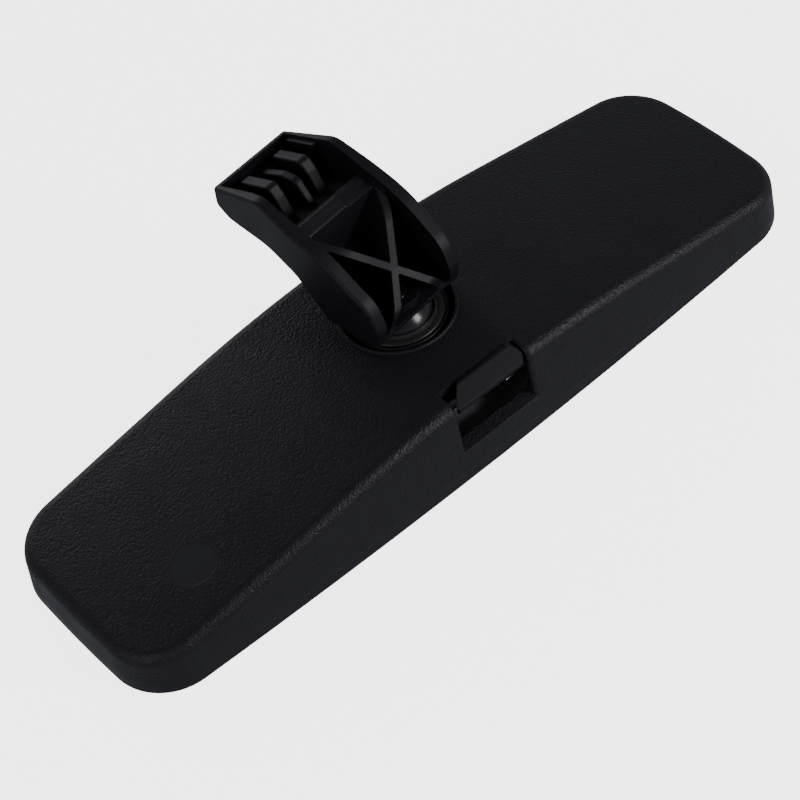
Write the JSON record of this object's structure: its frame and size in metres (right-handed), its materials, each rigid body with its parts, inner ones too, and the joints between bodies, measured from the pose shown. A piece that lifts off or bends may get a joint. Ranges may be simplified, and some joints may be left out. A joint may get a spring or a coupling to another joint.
{
  "type": "interior rearview mirror",
  "caption": "Prismatic interior rearview mirror with day and night lever, ball-jointed arm and windscreen foot with an open ribbed channel.",
  "frame": {"origin": "on the face of the front bezel, at the middle of the mirror's length and of its corner height", "axes": "+X along the mirror, to the left for the driver looking at the glass with the upper edge up; +Y towards the upper edge; +Z out of the back, towards the windscreen"},
  "size_m": [0.2518, 0.0969, 0.0681],
  "materials": {
    "housing_plastic": "fine leather-like grain, near black",
    "bezel_plastic": "satin moulded plastic, near black",
    "glass": "prismatic silvered glass",
    "mirror_film": "grey backing paint",
    "foam": "open-cell foam, dark grey",
    "pin_steel": "ground steel",
    "spring_steel": "blued spring steel",
    "screw_steel": "zinc-plated steel",
    "lever_plastic": "satin moulded plastic, near black",
    "bracket_plastic": "glass-filled plastic, black",
    "socket_plastic": "satin moulded plastic, near black",
    "ring_plastic": "acetal, black",
    "seat_plastic": "acetal, black",
    "arm_plastic": "satin moulded plastic, near black",
    "ball_steel": "black coated steel"
  },
  "bodies": {
    "housing": {"housing_shell": "housing_plastic", "front_bezel": "bezel_plastic", "mirror_glass": "glass", "glass_backing": "mirror_film", "foam_strips": "foam", "bracket_hinge_pin": "pin_steel", "hinge_pin_clips": "spring_steel", "lever_pivot_pin": "pin_steel", "detent_spring": "spring_steel", "spring_screw": "screw_steel"},
    "lever": {"day_night_lever": "lever_plastic"},
    "bracket": {"toggle_bracket": "bracket_plastic", "socket_cup": "socket_plastic", "socket_collar": "socket_plastic", "socket_screws": "screw_steel", "preload_washer": "spring_steel"},
    "swivel": {"friction_ring": "ring_plastic"},
    "seat": {"ball_seat": "seat_plastic"},
    "arm": {"mounting_arm": "arm_plastic", "ball_stud": "ball_steel"}
  },
  "joints": [
    {"name": "lever_flip", "type": "hinge", "parent": "housing", "child": "lever", "pos_m": [0, -0.026, 0.02], "axis": [1, 0, 0], "range_deg": [0, 50]},
    {"name": "day_night_tilt", "type": "hinge", "parent": "housing", "child": "bracket", "pos_m": [0, 0.0285, 0.015], "axis": [1, 0, 0], "range_deg": [-4.5, 0]},
    {"name": "ball_roll", "type": "hinge", "parent": "bracket", "child": "swivel", "pos_m": [0, 0.0035, 0.025], "axis": [0, 0, 1], "range_deg": [-25, 25]},
    {"name": "ball_pan", "type": "hinge", "parent": "swivel", "child": "seat", "pos_m": [0, 0.0035, 0.025], "axis": [-0.1045, 0.9945, 0], "range_deg": [-7, 7]},
    {"name": "ball_tilt", "type": "hinge", "parent": "seat", "child": "arm", "pos_m": [0, 0.0035, 0.025], "axis": [0.9945, 0.1045, 0], "range_deg": [-7, 7]}
  ],
  "couplings": [
    {"joint": "day_night_tilt", "follows": "lever_flip", "ratio": -0.0893}
  ]
}
